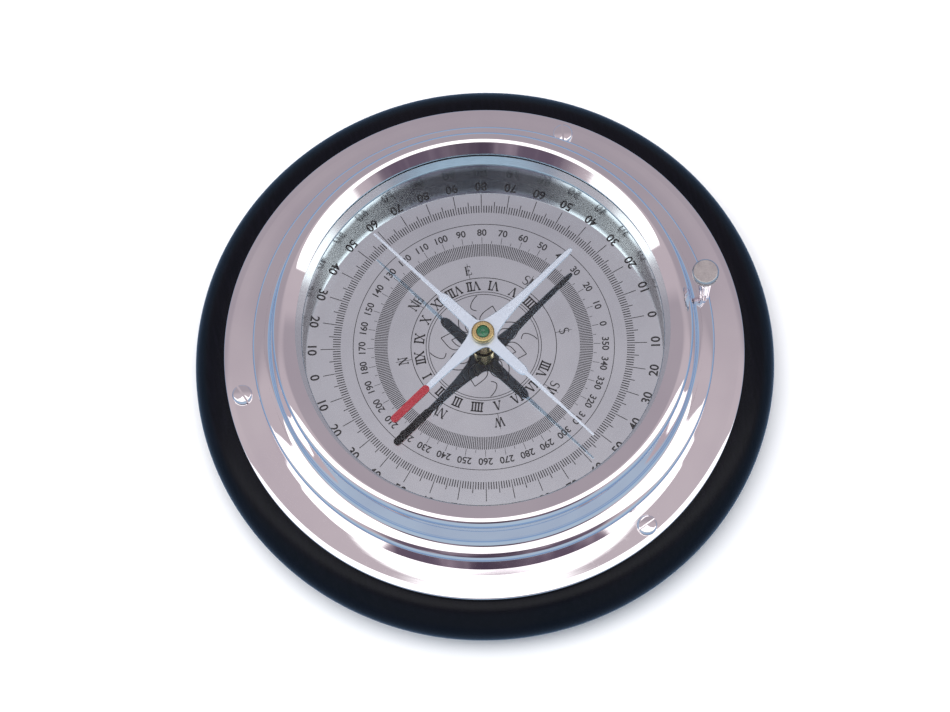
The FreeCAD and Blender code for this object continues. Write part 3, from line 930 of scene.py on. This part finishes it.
def needle_red_end():
    bm = bmesh.new()
    outline = []
    for k in range(9):
        turn = math.radians(-90 + 180 * k / 8)
        outline.append((32.4 + 1.05 * math.cos(turn), 1.05 * math.sin(turn)))
    for k in range(9):
        turn = math.radians(90 + 180 * k / 8)
        outline.append((21.2 + 1.05 * math.cos(turn), 1.05 * math.sin(turn)))
    prism(bm, spun(outline, BLADE_BEARING), NEEDLE_Z - 0.1,
          NEEDLE_Z + NEEDLE_T + 0.1)
    piece("needle_red_end", bm, "needle", red_enamel(), ("needle_red_tip",), 30.0)


def fine_pointers():
    bm = bmesh.new()
    for side in (90, 270):
        outline = [(13.6, 0.55), (13.6, -0.55), (39.9, -0.22), (39.9, 0.22)]
        prism(bm, spun(outline, BLADE_BEARING + side), NEEDLE_Z + NEEDLE_T,
              NEEDLE_Z + NEEDLE_T + POINTER_T)
    piece("fine_pointers", bm, "needle", needle_silver(), ("cross_pointers",),
          30.0)


def cap_and_jewel():
    seat = NEEDLE_Z + NEEDLE_T
    corners = [(STEM_BORE_R, STEM_FOOT, 0), (STEM_R, STEM_FOOT, 0), (STEM_R, seat, 0),
               (2.55, seat, 0.1), (HUB_R, seat + 0.6, 0.3), (HUB_R, CAP_TOP, 0.45),
               (1.75, CAP_TOP, 0.12), (JEWEL_R, CAP_TOP - 0.55, 0),
               (STEM_BORE_R, CAP_TOP - 0.6, 0)]
    piece("hub_cap_turning", lathe(section(corners, 6), 96), "needle", turned_brass(),
          ("hub_cap",))
    stone = [(0.0, CAP_TOP - 0.6), (JEWEL_R, CAP_TOP - 0.6), (JEWEL_R, CAP_TOP - 0.35)]
    for k in range(9):
        turn = math.pi / 2 * k / 8
        stone.append((0.5 + 1.05 * math.cos(turn), CAP_TOP - 0.35 + 0.25 * math.sin(turn)))
    stone += [(0.4, CAP_TOP - 0.16), (0.0, CAP_TOP - 0.22)]
    piece("jewel_stone", lathe(stone, 64, closed=False), "needle", green_jewel(),
          ("jewel",))


# ---- knob ----

def knob_head():
    """A straight-knurled head with a plain face."""
    teeth = 40

    def knurl(turn, z):
        inside = KNOB_UNDER + 0.45 < z < KNOB_TOP - 0.4
        crossed = abs(((turn * teeth / (2 * math.pi)) % 1.0) - 0.5) * 2
        return -0.24 * crossed if inside else 0.0

    corners = [(0.0, KNOB_UNDER, 0), (KNOB_R - 0.5, KNOB_UNDER, 0.2),
               (KNOB_R - 0.02, KNOB_UNDER + 0.42, 0.1), (KNOB_R - 0.02, KNOB_TOP - 0.38, 0.1),
               (KNOB_R - 0.35, KNOB_TOP, 0.18), (0.0, KNOB_TOP, 0)]
    bm = lathe(section(corners, 4), teeth * 8, (KNOB_AT.x, KNOB_AT.y), False, knurl)
    piece("knob_head", bm, "knob", satin_knob_plate(), ("lock_knob",), 32.0)


def knob_shank():
    foot = SHOULDER_Z + 0.78
    flutes = 14

    def fluting(turn, z):
        return -0.16 * (0.5 + 0.5 * math.cos(turn * flutes)) if z > foot + 1.0 else 0.0

    corners = [(0.0, SHANK_FOOT, 0), (SHANK_R, SHANK_FOOT, 0), (SHANK_R, foot, 0),
               (1.25, foot + 0.2, 0.1),
               (1.35, foot + 4.0, 2.0), (1.75, foot + 10.5, 3.0), (2.75, KNOB_UNDER - 1.2, 1.0),
               (2.9, KNOB_UNDER, 0), (0.0, KNOB_UNDER, 0)]
    bm = lathe(section(corners, 6), flutes * 12, (KNOB_AT.x, KNOB_AT.y), False, fluting)
    piece("knob_shank", bm, "knob", bright_plate(), ("lock_screw",))


# ---- works under the dial: the CAD solids, with their finishes ----

WORKS = {
    "back_plate": turned_brass, "back_plate_screws": turned_brass, "pivot_post": turned_brass,
    "pivot_nut": turned_brass, "lift_sleeve": turned_brass, "lift_lever": turned_brass,
    "lever_bracket": turned_brass, "bracket_screws": turned_brass, "thrust_pad": turned_brass,
    "pivot_pin": ground_steel, "lever_pin": ground_steel, "glass_gasket": black_rubber,
}


def finish_works():
    for node, material in WORKS.items():
        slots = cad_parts[node].data.materials
        for i in range(len(slots)):
            slots[i] = material()


# ---- stage ----

VIEW_AZIMUTH = -97.37
VIEW_ELEVATION = 70.12
VIEW_ROLL = -3.745
VIEW_DISTANCE = 1.1962
VIEW_AIM = Vector((-0.00248, 0.00279, 0.0209))
VIEW_LENS = 173.9

AZ = math.radians(VIEW_AZIMUTH)
TOWARD = Vector((math.sin(AZ), -math.cos(AZ), 0.0))
SIDE = Vector((math.cos(AZ), math.sin(AZ), 0.0))


def set_camera():
    lift = math.radians(VIEW_ELEVATION)
    back = TOWARD * math.cos(lift) + Vector((0, 0, math.sin(lift)))
    right = Vector((0, 0, 1)).cross(back).normalized()
    up = back.cross(right)
    roll = math.radians(VIEW_ROLL)
    across = right * math.cos(roll) + up * math.sin(roll)
    upward = up * math.cos(roll) - right * math.sin(roll)
    data = bpy.data.cameras.new("camera")
    data.lens = VIEW_LENS
    data.sensor_width = 36.0
    data.clip_start = 0.01
    data.clip_end = 20.0
    camera = bpy.data.objects.new("camera", data)
    place = VIEW_AIM + back * VIEW_DISTANCE
    camera.matrix_world = Matrix((
        (across.x, upward.x, back.x, place.x),
        (across.y, upward.y, back.y, place.y),
        (across.z, upward.z, back.z, place.z),
        (0.0, 0.0, 0.0, 1.0)))
    bpy.context.scene.collection.objects.link(camera)
    bpy.context.scene.camera = camera


def set_floor():
    mesh = bpy.data.meshes.new("floor")
    size = 6.0
    mesh.from_pydata([(-size, -size, 0), (size, -size, 0), (size, size, 0), (-size, size, 0)],
                     [], [(0, 1, 2, 3)])
    mesh.materials.append(pale_floor())
    floor = bpy.data.objects.new("floor", mesh)
    floor.visible_glossy = False
    bpy.context.scene.collection.objects.link(floor)


def set_world():
    """A studio in zones: white overhead, warm grey behind, blue in front and low, a dark patch."""
    world = bpy.data.worlds.new("studio")
    world.use_nodes = True
    bpy.context.scene.world = world
    bench = Bench(world.node_tree)
    direction = bench.add("ShaderNodeTexCoord", out="Generated")
    x, y, up = bench.axes(direction)
    toward = x * TOWARD.x + y * TOWARD.y
    side = x * SIDE.x + y * SIDE.y
    lean = up.maths("ARCTAN2", toward, up) * (180 / math.pi)
    warm = bench.blend(bench.ease(lean, -24.0, -17.5), linear(166, 158, 166),
                       linear(192, 182, 188))
    front = bench.ease(lean, 26.0, 29.0)
    tone = bench.blend(front, warm, linear(172, 194, 213))
    low = 1 - bench.ease(up, 0.12, 0.28)
    tone = bench.blend(low, tone, linear(161, 187, 212))
    aside = side.maths("ABSOLUTE", side)
    edge = lean - 33.0 * side.maths("MINIMUM", aside, 0.1) - 12.0 * aside
    white = bench.ease(edge, -17.9, -17.2) * (1 - bench.ease(lean, 12.0, 13.5))
    white = white * bench.ease(up, 0.3, 0.5)
    tone = bench.blend(white, tone, (1.5, 1.5, 1.5, 1.0))
    ragged = bench.noise(bench.join(side, toward * 0.6, 0.3), 7.0, 3.0, 0.6)
    patch = bench.ease(lean, 12.5, 14.0) * (1 - bench.ease(lean, 26.0, 29.0))
    patch = patch * (1 - bench.ease(aside, 0.3, 0.42))
    shade = bench.blend(bench.ease(ragged, 0.4, 0.6), linear(100, 88, 104),
                        linear(150, 138, 150))
    heart = bench.ease(aside, 0.14, 0.04)
    shade = bench.blend(heart * 0.7, shade, linear(64, 54, 70))
    tone = bench.blend(patch, tone, shade)
    under = 1 - bench.ease(up, -0.05, 0.0)
    tone = bench.blend(under, tone, linear(130, 160, 198))
    glow = bench.add("ShaderNodeBackground", None, {"Color": tone, "Strength": 1.0})
    bench.add_output("ShaderNodeOutputWorld", glow)


def set_light():
    data = bpy.data.lights.new("soft_box", "AREA")
    data.shape = "SQUARE"
    data.size = 2.6
    data.energy = 42.0
    lamp = bpy.data.objects.new("soft_box", data)
    lamp.location = Vector((0, 0, 1.7)) + SIDE * -0.3 - TOWARD * 0.1
    lamp.rotation_mode = "QUATERNION"
    lamp.rotation_quaternion = lamp.location.to_track_quat("Z", "Y")
    lamp.visible_glossy = False
    lamp.visible_transmission = False
    bpy.context.scene.collection.objects.link(lamp)


turned_base()
baize_pad()
case_turning()
bezel_turning()
flange_screw_heads()
window()
liner_ring()
dial_sheet()
dial_scales()
dial_figures()
dial_letters()
dial_rosette()
needle_cross()
needle_red_end()
fine_pointers()
cap_and_jewel()
knob_head()
knob_shank()
finish_works()
set_camera()
set_floor()
set_world()
set_light()
bpy.context.scene.view_settings.view_transform = "Standard"
